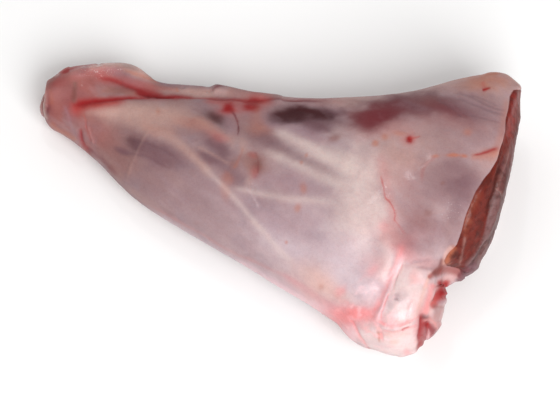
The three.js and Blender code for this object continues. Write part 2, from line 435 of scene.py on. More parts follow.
# Muscle that shows through the film
MUSCLE = [
    Patch("brown muscle", "umber", 0.55, (114, 144), (26, 16), 38),
    Patch("brown muscle's red", "rose", 0.5, (100, 132), (16, 12), 40),
    Patch("brown muscle's end", "umber", 0.5, (122, 168), (14, 12), 40),
    Patch("grey knot", "slate", 0.7, (136, 144), (8, 5), 24, 2.6, -0.3),
    Line("wedge's upper edge", "slate", 0.45, (2.6, 1.6),
         [(124, 139), (140, 141), (158, 147), (176, 157)], -0.2),
    Line("wedge's streak", "purple", 0.6, (2.0, 1.6),
         [(112, 147), (128, 152), (150, 158), (172, 170)], -0.15),
    Patch("grey knot's tail", "purple", 0.7, (123, 150), (7, 3.4), 14, 2.6, -0.2),
    Patch("purple wedge", "purple", 0.85, (158, 153), (29, 12), 24, 2.2),
    Patch("purple wedge's tip", "purple", 0.25, (152, 178), (16, 12), 55, 1.9),
    Patch("shade of the shin", "purple", 0.2, (205, 206), (26, 9), 36, 1.9),
    Patch("second knot", "slate", 0.8, (216, 119), (11, 5), 24, 2.6, -0.2),
    Patch("second knot's haze", "slate", 0.3, (224, 121), (20, 7), 22),
    Patch("blue haze", "lavender", 0.55, (233, 126), (9, 6), 40, 2.2),
    Patch("purple by the star", "purple", 0.95, (217, 146), (17, 7), 26, 2.4),
    Patch("purple under the stripe", "purple", 0.9, (207, 158), (11, 6), 30, 2.4),
    Patch("purple left of the star", "purple", 0.75, (223, 163), (13, 7), 36, 2.4),
    Patch("purple over the star", "purple", 0.7, (237, 176), (9, 9), 30, 2.4),
    Patch("grey over the stain", "purple", 0.7, (264, 140), (15, 8), 22, 2.2),
    Patch("brown behind the spots", "umber", 0.55, (256, 124), (20, 11), 20),
    Patch("grey right of it", "purple", 0.5, (284, 146), (18, 7), 28),
    Patch("long grey furrow", "purple", 0.5, (310, 164), (26, 6.5), 26),
    Patch("furrow's end", "purple", 0.28, (328, 170), (14, 5), 24),
    Patch("lilac field", "lavender", 0.7, (285, 182), (40, 9), 14),
    Patch("black muscle's haze", "purple", 0.9, (302, 116), (35, 12), 0, 3.4),
    Patch("black muscle's right end", "purple", 0.95, (330, 112), (13, 6), -2, 3.0),
    Patch("black muscle, left", "slate", 1.0, (288, 115), (17, 8.5), 0, 4.0, -0.2),
    Patch("black muscle's core", "slate", 1.0, (306, 114.5), (18, 8), 0, 4.4),
    Patch("black muscle, right", "slate", 0.95, (321, 113), (14, 6.5), 0, 3.6, -0.2),
    Patch("black muscle's lobe", "purple", 0.95, (315, 126), (14, 9), 8, 3.0),
    Patch("shade over the band", "lavender", 0.85, (304, 135), (36, 7), 18),
    Patch("light between the lobes", "lavender", 0.4, (297, 130), (6, 3), 10, 2.4),
    Patch("plum muscle's haze", "purple", 0.75, (388, 110), (42, 13), -10, 2.6),
    Patch("pink under the plum", "blush", 0.35, (386, 128), (32, 8), -6),
    Patch("red over the black muscle", "rose", 0.35, (318, 99), (22, 4), 0, 2.2),
    Patch("plum muscle", "plum", 1.0, (379, 113), (25, 9.5), -14, 2.6, -0.2),
    Patch("plum muscle's foot", "plum", 0.9, (369, 121), (18, 10), -10, 2.4),
    Patch("plum muscle's left end", "plum", 0.7, (355, 114), (9, 6), 0, 2.4),
    Patch("plum band", "slate", 0.35, (404, 103), (26, 5), -4, 2.6),
    Patch("plum band's red", "plum", 0.75, (412, 106), (30, 7), -2, 2.4),
    Patch("purple band", "purple", 0.95, (434, 106), (30, 9), 4, 2.2),
    Patch("purple band's brown", "umber", 0.5, (438, 103), (22, 5), 6, 2.2),
    Patch("purple band's end", "purple", 0.7, (460, 113), (22, 8), 16),
    Patch("purple band's red", "plum", 0.6, (446, 109), (24, 5), 14),
    Patch("shade under the band", "rose", 0.3, (452, 120), (30, 7), 10),
    Patch("grey above the corner", "purple", 0.3, (480, 108), (26, 13), 14),
    Patch("calf's shade", "purple", 0.4, (454, 180), (27, 24)),
    Patch("calf's dark spot", "purple", 0.35, (449, 187), (8, 7), 20),
    Patch("calf's upper spot", "purple", 0.3, (452, 167), (10, 5), 10),
    Patch("calf's right spot", "purple", 0.5, (462, 183), (5, 6), 10),
    Patch("calf's low spot", "purple", 0.35, (426, 226), (9, 8)),
    Patch("calf's right shade", "purple", 0.5, (464, 190), (11, 17), 10),
    Patch("calf's left shade", "purple", 0.35, (412, 218), (16, 15), 0, 1.9),
    Patch("calf's lower shade", "purple", 0.3, (442, 232), (22, 16), -10, 1.9),
    Patch("calf's pink shade", "rose", 0.3, (412, 224), (16, 18), 0, 1.9),
    # Painted sheen: pale film laid where the wet calf catches the light.
    Patch("calf's painted sheen", "fascia", 0.3, (441, 209), (12, 8)),
    Patch("shade by the cut", "purple", 0.35, (459, 213), (8, 18), 18, 2.2),
]

# Pale bands and cords of fascia
BANDS = [
    Line("field under the streak", "tan", 0.95, (11, 11),
         [(92, 109), (130, 112), (160, 114), (194, 116)], 0.3),
    Patch("field's lower part", "tan", 0.8, (144, 120), (26, 10), 10, 2.2),
    Patch("field's warm foot", "rust", 0.3, (160, 131), (14, 5), 20, 2.2),
    Line("upper part of the cord", "tan", 0.7, (7, 3.4),
         [(150, 126), (174, 141), (194, 158), (214, 177)], 0.35),
    Line("cord", "cream", 0.48, (3.0, 4.0),
         [(202, 164), (226, 189), (250, 217), (272, 242), (298, 270)], 0.2),
    Line("cord's arm", "cream", 0.4, (3.0, 5.2),
         [(230, 188), (252, 192), (276, 197), (304, 200), (344, 205)], 0.18),
    Line("cord's upper arm", "tan", 0.45, (3.5, 4.0),
         [(246, 190), (250, 176), (248, 162), (244, 148), (242, 136)], 0.2),
    Line("ray of the star", "fascia", 0.55, (1.6, 1.6), [(244, 186), (253, 197), (259, 208)], 0.2),
    Line("band over the furrow", "cream", 0.55, (5, 9),
         [(272, 130), (296, 141), (326, 157), (358, 172)], 0.15),
    Line("band under the furrow", "cream", 0.5, (4.4, 7),
         [(262, 150), (296, 164), (326, 178), (352, 190)], 0.12),
    Line("band past the second knot", "tan", 0.45, (5, 4), [(186, 112), (212, 130), (240, 144)], 0.2),
    Line("stripe in the purple", "tan", 0.4, (2.0, 2.0), [(196, 147), (214, 155), (232, 166)], 0.25),
    Line("crease over the wedge", "tan", 0.25, (1.6, 1.8),
         [(150, 127), (141, 146), (133, 162), (126, 182)], 0.25),
    Line("warm rim along the cut", "rust", 0.3, (4, 5), [(508, 98), (505, 114), (498, 146), (488, 164)]),
    Line("lower edge's film", "mist", 0.6, (4, 8), [(140, 206), (190, 236), (235, 262), (306, 302)]),
    # Painted rim light: pale silk laid along the lower edge where the light catches it.
    Line("lower edge's painted rim light", "silk", 0.6, (5, 8), [(232, 260), (266, 281), (302, 300), (338, 320)]),
    Line("lower edge's line", "blush", 0.3, (1.8, 2.2),
         [(142, 200), (186, 225), (226, 248), (262, 265), (302, 285)], 0.25),
    Line("cream fold at the knee", "white", 0.7, (7, 6),
         [(386, 234), (389, 250), (386, 268), (379, 284)], 0.5),
]

# The hock: creases, streaks of blood and the tendon's groove
HOCK = [
    Line("upper blush", "coral", 0.2, (6, 6), [(68, 78), (94, 70), (126, 70)], 0.2),
    Line("pale upper edge", "peach", 0.5, (3.6, 3.6), [(88, 68), (102, 65), (126, 65)]),
    Line("warm field between the streaks", "rust", 0.3, (4, 3), [(98, 90), (122, 92), (142, 94)]),
    Patch("pale field's pink start", "peach", 0.4, (98, 111), (16, 4.5), 3),
    Patch("heel flap", "tan", 0.75, (136, 70), (18, 7), 30, 3.4, 0.3),
    Patch("heel flap's pale end", "peach", 0.45, (144, 71), (9, 5), 38, 2.6),
    Line("line under the heel flap", "rust", 0.4, (2.0, 2.0), [(122, 70), (142, 76), (162, 82)], -0.2),
    Line("tendon past the heel", "rose", 0.6, (4, 3), [(120, 77), (150, 85), (180, 91)]),
    Patch("tendon's warm end", "peach", 0.45, (198, 92), (28, 4), 3, 2.2),
    Patch("lower lobe", "umber", 0.3, (64, 120), (16, 11), 20),
    Line("lower lobe's edge", "rust", 0.5, (2.6, 2.6), [(48, 121), (57, 129), (68, 135), (78, 141)]),
    Line("line across the lobe", "lavender", 0.4, (2.0, 2.0), [(64, 104), (69, 117), (74, 134)], -0.15),
    Patch("red haze at the streak's end", "vessel", 0.4, (75, 112), (7, 8)),
    Line("lower streak's haze", "vessel", 0.8, (6.5, 4.6),
         [(70, 110), (84, 106), (100, 104), (128, 100)], -0.3),
    Line("lower streak", "blood", 0.95, (4.2, 1.8),
         [(72, 106), (84, 102.5), (98, 100.5), (120, 98), (158, 96.5)], -0.5),
    Line("upper streak's haze", "vessel", 0.5, (5.5, 6.0), [(94, 75), (116, 81), (138, 88), (166, 96)]),
    Line("upper streak", "blood", 0.7, (2.4, 3.4),
         [(96, 75), (114, 81), (130, 87), (144, 91.5), (166, 97)], -0.4),
    Line("where the streaks meet", "blood", 1.0, (3.6, 2.6),
         [(134, 91), (150, 95), (164, 97), (196, 97)], -0.3),
    Line("dark meeting", "slate", 0.5, (2.0, 1.8), [(142, 94), (154, 96), (164, 97), (176, 97)], -0.4),
    Line("groove, left", "blood", 0.65, (1.9, 1.6), [(158, 97), (178, 96.5), (196, 97.5), (226, 99)], -0.35),
    Line("groove, right", "plum", 0.8, (1.9, 1.6),
         [(206, 98.5), (244, 100), (280, 100.5), (330, 100.5)], -0.35),
    Line("red under the groove", "vessel", 0.45, (3.2, 3.0), [(200, 100.5), (236, 102), (276, 102.5)]),
    Line("ankle mark", "umber", 0.95, (2.4, 2.8), [(75.5, 81), (74.5, 90), (73.5, 104)], -0.25),
    Patch("ankle spot", "cut", 0.4, (73.5, 95), (2.4, 6.0), 4, 2.4),
    Patch("shade left of the ankle", "plum", 0.22, (68, 102), (7, 14), 8),
    Line("crease", "blood", 0.75, (2.4, 3.2), [(81.5, 127), (81.5, 136), (84, 145), (93, 154)], -0.6),
    Line("short crease", "vessel", 0.35, (1.3, 1.2), [(84, 115), (86, 121), (86.5, 128)], -0.2),
    Line("longer crease", "vessel", 0.3, (1.2, 1.2), [(86.5, 124), (89, 132), (92, 142)], -0.3),
    Line("fold by the crease", "blush", 0.4, (1.6, 1.6), [(88, 124), (91, 134), (95, 144)], 0.4),
    Patch("ankle fat", "rust", 0.2, (88, 118), (6, 4)),
    Line("red lower edge", "plum", 0.55, (3.0, 3.0), [(86, 147), (94, 154), (104, 162), (118, 176)]),
    Line("tip's red side", "plum", 0.4, (8.0, 8.0), [(56, 72), (48, 88), (46, 104), (50, 124)]),
    Line("tip's rim", "umber", 0.85, (3.6, 3.4), [(59, 70), (49, 82), (44.5, 96), (44, 108), (48, 122)]),
    Line("tip's dark wedge", "plum", 0.95, (2.4, 2.2), [(47, 104), (48, 109), (46, 116)], -0.3),
    Line("tip's vessel", "rust", 0.3, (2.2, 2.2), [(50, 88), (52, 96), (52, 106)]),
    Patch("tip's warm field", "blush", 0.3, (57, 92), (9, 7)),
    Line("blood on the upper edge", "blood", 0.95, (2.6, 2.2),
         [(64, 71), (75, 67), (83, 65), (93, 63)], -0.2),
    Patch("tip's blood", "blood", 0.95, (65, 71.5), (4, 2), -10, 3.0, -0.2),
    # Painted highlight: a small white spot at the tip of the hock.
    Patch("painted highlight at the tip", "white", 0.35, (58, 74), (2.6, 1.2), -32, 2.4),
    Patch("tip's warm corner", "vessel", 0.25, (60, 81), (7, 4), -10),
    Line("dark edge of the upper film", "plum", 0.75, (1.6, 1.4),
         [(212, 89.5), (222, 87), (234, 86.5), (244, 89)]),
    Line("grey upper edge", "umber", 0.4, (4.0, 4.0), [(226, 92), (252, 93), (288, 98)]),
    Line("speck on the tendon", "rust", 0.6, (1.3, 1.3), [(176, 86), (177.5, 90), (179, 92)]),
]

# Vessels, dashes and fine furrows
VESSELS = [
    Line("tail of the first spot", "plum", 0.75, (1.3, 0.9),
         [(230, 109), (235, 116), (238, 123), (239, 130), (237, 137)]),
    Patch("tail's dark end", "slate", 0.4, (238.6, 129), (0.9, 3.2), -4, 2.4),
    Line("line down from the tail", "rust", 0.3, (1.8, 1.6), [(244, 146), (240, 160), (234, 170)]),
    Line("thread's haze", "blush", 0.45, (6.0, 5.0), [(380, 152), (386, 182), (391, 208), (396, 232)]),
    Line("upper thread", "vessel", 0.6, (0.9, 1.0), [(381, 174), (383.5, 187), (385.5, 197), (389, 202)]),
    Line("thread", "vessel", 0.8, (1.0, 1.2), [(384, 195), (390, 203), (394, 211), (394.5, 217), (394, 223)]),
    Line("thread's end", "vessel", 0.5, (1.1, 1.0), [(393, 219), (398, 225), (405, 234)]),
    Line("tail of the red dot", "vessel", 0.7, (1.6, 1.2), [(408, 138), (414, 137.5), (421, 135.5)]),
    Patch("first orange dash", "rust", 0.6, (435, 156), (4, 1.6), -4, 2.4),
    Patch("second orange dash", "rust", 0.75, (453, 155), (6, 1.8), 0, 2.4),
    Patch("third orange dash", "rust", 0.75, (464, 155.5), (3.5, 1.8), 6, 2.4),
    Line("red line's haze", "rust", 0.5, (4.0, 4.6), [(470, 156), (484, 155), (500, 150)]),
    Line("red line", "blood", 0.9, (1.2, 2.8), [(473, 154.5), (482, 153), (490, 150.5), (499, 147)]),
    Line("rust dash in the corner", "rust", 0.75, (1.6, 1.6), [(479, 78), (488, 76), (500, 73.5)]),
    Line("red dash in the corner", "blood", 0.95, (1.5, 1.3), [(482, 90), (486, 89), (491, 87.5)]),
    Line("haze over the red dash", "vessel", 0.35, (2.6, 2.6), [(482, 81), (484, 86), (488, 90)]),
    Line("first fine furrow", "purple", 0.3, (1.8, 1.6),
         [(434, 98), (446, 103), (456, 111), (464, 117)], -0.2),
    Line("second fine furrow", "purple", 0.3, (1.6, 1.5),
         [(458, 98), (474, 104), (488, 110), (506, 115)], -0.2),
    Line("third fine furrow", "purple", 0.28, (1.5, 1.5),
         [(456, 92), (474, 98), (492, 107), (506, 110)], -0.15),
    Line("fourth fine furrow", "purple", 0.25, (1.7, 1.7), [(462, 112), (480, 117), (502, 123)], -0.15),
    Line("fifth fine furrow", "purple", 0.25, (1.5, 1.5), [(470, 94), (484, 99), (498, 106)], -0.15),
    Line("arc on the calf", "rose", 0.4, (2.2, 2.4), [(436, 157), (427, 163), (423, 172), (422, 184)]),
]

# Spots, stains and specks
SPOTS = [
    Patch("first spot's haze", "vessel", 0.5, (229, 108), (11, 7), 10),
    Patch("first spot", "blood", 1.0, (228.5, 108), (6, 5), 10, 3.0),
    Patch("second spot's haze", "vessel", 0.55, (253, 103.5), (14, 7.5), -4, 2.2),
    Patch("second spot", "blood", 1.0, (250, 105), (8, 5.5), -15, 3.0),
    Patch("second spot's foot", "blood", 0.5, (255, 110), (5, 3.5), 0, 2.4),
    Patch("orange smear", "rust", 0.28, (258, 119), (6, 9), -10),
    Patch("smear by the stain", "rust", 0.3, (262, 130), (10, 5), 20),
    Patch("rust field", "rust", 0.35, (196, 126), (20, 6), 14),
    Patch("rust field's red", "vessel", 0.35, (219, 137), (9, 4), 16),
    Patch("stain", "umber", 0.85, (256, 163), (10, 10), -10),
    Patch("stain's top", "rose", 0.75, (253, 155), (4, 3.4), 30, 2.2),
    Patch("stain's middle", "cut", 0.4, (258, 163), (4.4, 6), 20, 2.2),
    Line("streak in the stain", "plum", 0.4, (1.2, 1.0), [(255, 151), (258, 161), (257, 174)]),
    Patch("stain's foot", "vessel", 0.3, (254, 172), (3.4, 5), 0, 2.2),
    Patch("brown stain", "umber", 0.6, (235, 165), (4, 5), 20, 2.2),
    Patch("stain on the cord", "rust", 0.35, (228, 177), (5, 4), 30, 2.2),
    Patch("stain along the cord", "rust", 0.25, (224, 190), (4, 9), -8, 2.2),
    Patch("red dot's haze", "vessel", 0.5, (409, 139), (6, 6), 0, 2.2),
    Patch("red dot", "blood", 1.0, (409, 139.5), (3.2, 4.0), 0, 3.4),
    Patch("rust left of the dot", "umber", 0.7, (333, 139), (6.4, 3.4), -20, 2.4),
    Patch("first speck", "rust", 0.6, (375, 143), (3, 3), 0, 2.4),
    Patch("second speck", "rust", 0.5, (386, 137), (3, 3.5), 20, 2.4),
    Patch("third speck", "rust", 0.4, (400, 133), (6, 2.5), 8, 2.4),
    Patch("fourth speck", "rust", 0.45, (303, 188), (3, 5), 0, 2.4),
    Patch("fifth speck", "rust", 0.45, (297, 208), (3, 3.5), 0, 2.4),
    Patch("sixth speck", "rust", 0.4, (307, 156), (1.6, 1.8), 0, 3.0),
    Patch("seventh speck", "rust", 0.4, (302, 163), (1.8, 2.0), 0, 3.0),
    Patch("eighth speck", "rust", 0.45, (286, 242), (1.6, 1.8), 0, 3.0),
    Patch("ninth speck", "rust", 0.35, (158, 112), (2.2, 3.0), 0, 2.4),
    Patch("tenth speck", "rust", 0.4, (468, 132), (4, 3), -20, 2.2),
    Patch("pink under the thread", "coral", 0.25, (383, 227), (5, 5), 20),
    Patch("blush under the thread", "blush", 0.5, (389, 237), (10, 9), 20, 1.9),
    Patch("red over the tendon", "vessel", 0.3, (408, 246), (12, 12), 20),
    Patch("purple over the tendon", "purple", 0.4, (421, 246), (11, 9)),
    Patch("coral over the tendon", "coral", 0.2, (406, 254), (12, 6), 20),
    Patch("pink spot", "coral", 0.35, (372, 271), (6, 4), -35),
    Patch("pink round the spot", "blush", 0.4, (377, 266), (11, 12), -20, 1.9),
    Patch("calf's rust spot", "umber", 0.55, (428, 213), (4.2, 3.4), -20, 2.4),
    Patch("calf's rust dash", "umber", 0.6, (442, 183), (2.4, 1.8), 0, 2.6),
]

# The knee: coral tissue, the white tendon and the capsule's lobes
KNEE = [
    Patch("peach fat", "peach", 0.65, (323, 285), (26, 10), 30),
    Patch("first dab of fat", "rust", 0.3, (322, 287), (3, 3), 0, 2.2),
    Patch("second dab of fat", "coral", 0.35, (341, 290), (6, 4), -40, 2.2),
    Line("coral along the edge", "coral", 0.25, (4, 6),
         [(280, 274), (306, 290), (328, 304), (352, 316)], -0.2),
    Patch("coral band", "coral", 0.85, (356, 316), (26, 8), 8, 2.4, -0.3),
    Patch("pink side of the capsule", "coral", 0.5, (346, 326), (8, 14), -35, 2.2),
    Patch("first lobe", "silk", 0.55, (353, 333), (6, 10), -35, 2.6, 0.3),
    Patch("second lobe", "white", 0.85, (372, 337), (9, 11), -30, 3.0, 0.4),
    Patch("knuckle", "white", 1.0, (399, 343), (24, 13), 0, 3.4, 0.4),
    Line("crease by the first lobe", "coral", 0.6, (1.8, 1.8),
         [(348, 318), (356, 327), (361, 336), (369, 347)], -0.5),
    Line("crease by the second lobe", "coral", 0.5, (1.8, 1.6),
         [(372, 320), (378, 327), (381, 334), (382, 342)], -0.4),
    Patch("red end of the crease", "vessel", 0.6, (369, 348), (1.8, 1.4), 0, 2.6),
    Patch("pale film by the groove", "silk", 0.45, (374, 298), (8, 14), 25),
    Line("coral groove", "coral", 0.62, (3.6, 4.4),
         [(404, 242), (397, 266), (389, 284), (381, 301), (369, 316)], -0.5),
    Line("pink strand", "silk", 1.0, (3.2, 3.2),
         [(404, 252), (395, 276), (388, 293), (382, 309), (376, 324)], 0.5),
    Line("line beside the strand", "coral", 0.6, (1.2, 1.2),
         [(389, 293), (385, 302), (381.5, 312), (380, 320)], -0.4),
    Line("peach strand", "peach", 0.5, (2.0, 2.2), [(407, 258), (400, 275), (395, 288), (391, 298)], 0.2),
    Line("line beside the peach", "coral", 0.4, (1.2, 1.2), [(403, 262), (397, 278), (393, 292)], -0.3),
    Line("tendon", "white", 0.95, (13, 14), [(412, 280), (407, 294), (400, 315)], 0.7, 4.0),
    Patch("tendon's white top", "white", 0.7, (413, 279), (12, 9), -20, 2.2),
    Line("tendon's right strand", "white", 0.9, (4.0, 5.0), [(424, 288), (417, 305), (412, 322)], 0.3),
    Line("peach right edge", "peach", 0.7, (2.2, 2.4),
         [(432, 270), (427, 284), (421, 300), (418, 318)], -0.2),
    Line("line in the tendon", "coral", 0.25, (1.4, 1.4),
         [(414, 297), (410, 306), (408, 314), (406, 323)], -0.25),
    Patch("shade in the tendon", "lavender", 0.4, (404, 300), (7, 8), 20),
    Patch("first smear", "lavender", 0.5, (397, 296), (3.4, 3.0), -30, 2.6),
    Patch("smear's dark dot", "purple", 0.45, (397, 299.5), (2.6, 1.3), 10, 2.4),
    Patch("second smear", "lavender", 0.35, (391, 304), (4, 4), 0, 2.4),
    Patch("crinkled film", "blush", 0.4, (430, 264), (14, 6), 4, 2.4, 0.2),
    Patch("first crinkle", "purple", 0.35, (424, 268), (8, 1.8), 4, 2.2, -0.3),
    Patch("second crinkle", "purple", 0.3, (434, 268), (4, 3), -50, 2.2, -0.3),
    Patch("third crinkle", "lavender", 0.4, (420, 261), (9, 1.6), -8, 2.2, -0.2),
    Line("first arc", "coral", 0.5, (1.8, 1.6),
         [(376, 320), (386, 324.5), (398, 325), (409, 322), (422, 314)], -0.4),
    Line("white arc", "white", 0.5, (1.3, 1.3), [(380, 326), (392, 328), (404, 326.5), (414, 322)], 0.3),
    Line("second arc", "coral", 0.35, (1.5, 1.5), [(380, 330), (392, 331.5), (405, 330), (418, 325)], -0.3),
    Patch("peach under the arcs", "peach", 0.5, (396, 334), (12, 2.5), 0, 2.4),
    Line("red dash on the arc", "vessel", 0.6, (1.4, 1.2),
         [(401.5, 332), (404.5, 329.5), (410, 327.5)], -0.2),
    Line("orange dash", "rust", 0.65, (1.8, 1.5), [(377.5, 326), (378, 333), (379, 342)], -0.2),
    Patch("dab on the knuckle", "peach", 0.6, (394, 341), (4.5, 2.2), 0, 2.4),
    Patch("pink notch under the knuckle", "coral", 0.4, (406, 352), (3, 3), 0, 2.4, -0.3),
    Patch("coral beside the knuckle", "coral", 0.35, (418, 330), (3, 9), 0, 2.4),
]

# Where the knee's tissue is torn
TORN = Patch("torn tissue", "", 0, (388, 306), (38, 34), -20, 3.0)

# The joint's edge and the bone's head below the cut
JOINT = [
    Line("shelf", "white", 0.9, (5.5, 5.0),
         [(462, 274), (446, 280), (436, 290), (430, 304), (427, 316)], 0.4),
    Line("shelf's far end", "blush", 0.5, (5.0, 5.0), [(464, 275), (454, 277), (444, 279), (438, 284)]),
    Patch("shade beside the shelf", "blush", 0.5, (423, 308), (7, 10), 20),
    Line("shelf's pink", "coral", 0.6, (3.4, 3.4), [(434, 284), (429, 298), (425, 316)]),
    Patch("shelf's spot", "coral", 0.5, (434, 286), (3, 2), 0, 2.4),
    Line("torn corner", "rose", 0.95, (2.4, 4.2),
         [(431, 277), (438, 272), (447, 269.5), (458, 272)], -0.4, 2.4),
    Line("torn corner's edge", "cut", 0.8, (3.0, 3.0), [(443, 261), (441, 267), (437, 273)], -0.3, 2.2),
    Line("joint gap", "vessel", 0.95, (4.2, 4.2),
         [(446, 284), (442, 291), (438, 298), (434, 304)], -0.5, 3.0),
    Patch("joint gap's dark end", "blood", 1.0, (442.6, 290), (5.2, 6.6), 24, 2.8, -0.3),
    Line("joint gap's right rim", "blood", 1.0, (3.6, 3.4), [(440, 283), (444, 290), (446, 296)], 0, 3.0),
    Patch("joint gap's light side", "lavender", 0.6, (441.5, 301.5), (3.6, 2.0), 0, 2.6),
    Line("pale lobe's upper edge", "rose", 0.6, (1.8, 1.8), [(433, 304), (438, 306), (445, 307)], -0.2),
    Patch("pale lobe's shade", "seam", 0.45, (439, 312), (4.6, 9), 6, 2.2),
    Patch("red round the ring", "vessel", 0.7, (426, 321), (6, 6.5), 0, 2.4),
    Patch("dark ring", "slate", 0.7, (425, 317), (3.4, 2.8), -30, 2.2, -0.3),
    Patch("ring's right side", "blood", 0.8, (429, 334), (8, 12), 22, 2.4, -0.2),
    Patch("ring's purple side", "plum", 0.7, (433, 329), (4, 5), 22, 2.4),
    Line("streak under the ring", "silk", 0.5, (1.0, 1.0), [(429, 328), (428, 333), (425, 340)], 0.2),
    Line("red left side", "blood", 0.9, (2.4, 2.6), [(421.5, 312), (422, 326), (420, 338), (416, 352)], -0.6),
    Patch("red core", "blood", 0.95, (428.5, 324.5), (3.6, 3.4), 0, 3.0, -0.4),
    Line("ring's rim", "blush", 0.7, (1.4, 1.4), [(424, 320), (430, 319), (434, 322), (435, 330)], 0.4),
    Line("blood at the foot", "blood", 0.8, (2.6, 2.4), [(424, 334), (421, 343), (417, 352)], -0.3),
]

# Small changes of the meat's outline and notches in it, and changes of the bone's head
OUTLINE = [
    Line("tip's upper corner", "", 0, (7, 7), [(52, 70), (42, 86), (40, 104)], -0.8),
    Line("tip's gristle", "", 0, (5, 5), [(58, 72), (64, 68), (70, 68)], 0.5),
    Line("dip past the heel", "", 0, (6, 6), [(150, 78), (176, 83), (200, 86), (216, 88)], -0.9),
    Line("upper film's outline", "", 0, (6, 4), [(218, 86), (236, 87.5), (256, 92), (278, 100)], 1.0, 2.6),
    Line("corner's outline", "", 0, (7, 7), [(482, 74), (500, 71), (512, 80), (520, 92)], 0.5),
    Line("cut's upper edge", "", 0, (6, 6), [(518, 84), (519, 100), (517, 126)], 0.7),
    Line("cut's lower edge", "", 0, (7, 7),
         [(510, 150), (503, 185), (494, 220), (480, 254), (464, 276)], 0.6),
    Line("under the cut", "", 0, (4, 4), [(460, 280), (452, 284), (444, 290)], -0.5),
    Line("knuckle's outline", "", 0, (6, 6), [(396, 357), (412, 352), (424, 342)], 0.8),
    Line("joint's lower side", "", 0, (5, 5), [(440, 320), (434, 331), (426, 342)], 1.1),
    Line("notch in the hock", "", 0, (2.0, 2.0), [(96, 63), (99, 64), (102, 63)], -0.6),
    Line("notch in the tendon", "", 0, (2.0, 2.0), [(181, 85), (183, 86), (185, 85)], -0.6),
    Line("notch before the film", "", 0, (2.2, 2.2), [(206, 89), (210, 90), (214, 89)], -0.8),
]
HEAD_OUTLINE = [
    Line("bone's head", "", 0, (6, 6), [(450, 282), (446, 291), (444, 304)], 0.9),
    Line("bone's neck", "", 0, (5, 5), [(441, 284), (444, 289), (446, 295)], 1.7),
    Line("head's lower side", "", 0, (5, 5), [(440, 320), (434, 331), (426, 342)], 1.1),
]

# Where the surface is wet
WET = [
    Patch("wet hock", "", 0.85, (104, 69), (28, 8)),
    Patch("wet knee", "", 0.55, (396, 304), (34, 44), 0, 2.5),
    Patch("wet calf", "", 0.6, (452, 212), (18, 15)),
    Patch("wet fascia", "", 0.45, (357, 186), (12, 16), 30),
    Patch("wet star", "", 0.5, (252, 186), (9, 12)),
]

# Where the film ends and the cut begins, and where film covers the cut again, from the top down
CUT_EDGE = [(521, 89), (513, 91), (510, 96), (509, 106), (506, 120), (505, 132), (503, 142), (500, 150),
            (497, 160), (490, 172), (484, 179), (476, 191), (471, 203), (467, 214), (463, 228), (460, 237),
            (457, 245), (450, 251), (446, 256), (444, 261), (447, 266), (453, 268), (459, 270), (464, 277),
            (475, 300)]
FILM_EDGE = [(560, 84), (530, 120), (514, 138), (506, 150), (501, 163), (498, 174), (496, 184), (492, 198),
             (489, 210), (486, 222), (483, 236), (476, 252), (466, 265), (459, 276), (470, 300)]
FILM_STREAKS = [
    Line("first pale streak", "tan", 0.2, (1.4, 1.8), [(510, 146), (504, 162), (499, 178), (495, 194)], 0.4),
    Line("second pale streak", "seam", 0.6, (1.6, 2.4),
         [(497, 192), (491, 212), (486, 230), (480, 246)], 0.3),
    Line("dark furrow", "cut_dark", 0.8, (2.0, 2.0), [(500, 160), (496, 178), (491, 196), (486, 214)], -0.4),
    Line("dark outer edge", "cut_dark", 0.6, (3.0, 3.0),
         [(509, 160), (503, 190), (496, 222), (484, 250)], -0.2),
    Line("grey low streak", "seam", 0.8, (1.8, 1.8), [(482, 242), (474, 254), (464, 266)], 0.4),
    Line("pale low streak", "tan", 0.3, (1.2, 1.4), [(465, 236), (463, 248), (458, 266)], 0.3),
    Line("dark low furrow", "cut_dark", 0.7, (1.8, 1.8), [(488, 238), (478, 252), (466, 268)], -0.4),
    Line("orange muscle", "rust", 0.2, (3.4, 3.4), [(480, 190), (472, 208), (467, 224), (464, 240)]),
    Line("red strip", "vessel", 0.3, (4.0, 4.0), [(514, 88), (513, 104), (511, 122), (507, 142)]),
]
CUT_FAT = [
    Line("orange fat", "rust", 0.75, (3.0, 3.6), [(456, 246), (449, 254), (446, 266)], 0.3),
    Line("pale fat", "peach", 0.5, (1.8, 1.6), [(452, 246), (445, 254), (443, 266)], 0.3),
    Line("loose flap", "purple", 0.9, (4.4, 3.6), [(472, 266), (465, 273), (460, 280)], 0.6, 3.0),
    Line("red over the flap", "plum", 0.6, (2.2, 2.0), [(468, 266), (462, 271), (457, 277)], -0.2),
]

# Middles of the muscles in the cut, across and up from the table, in mm
CUT_MUSCLES = [(-14, 15), (-10, 36), (5, 24), (18, 40), (22, 11), (34, 27), (50, 40), (50, 13)]

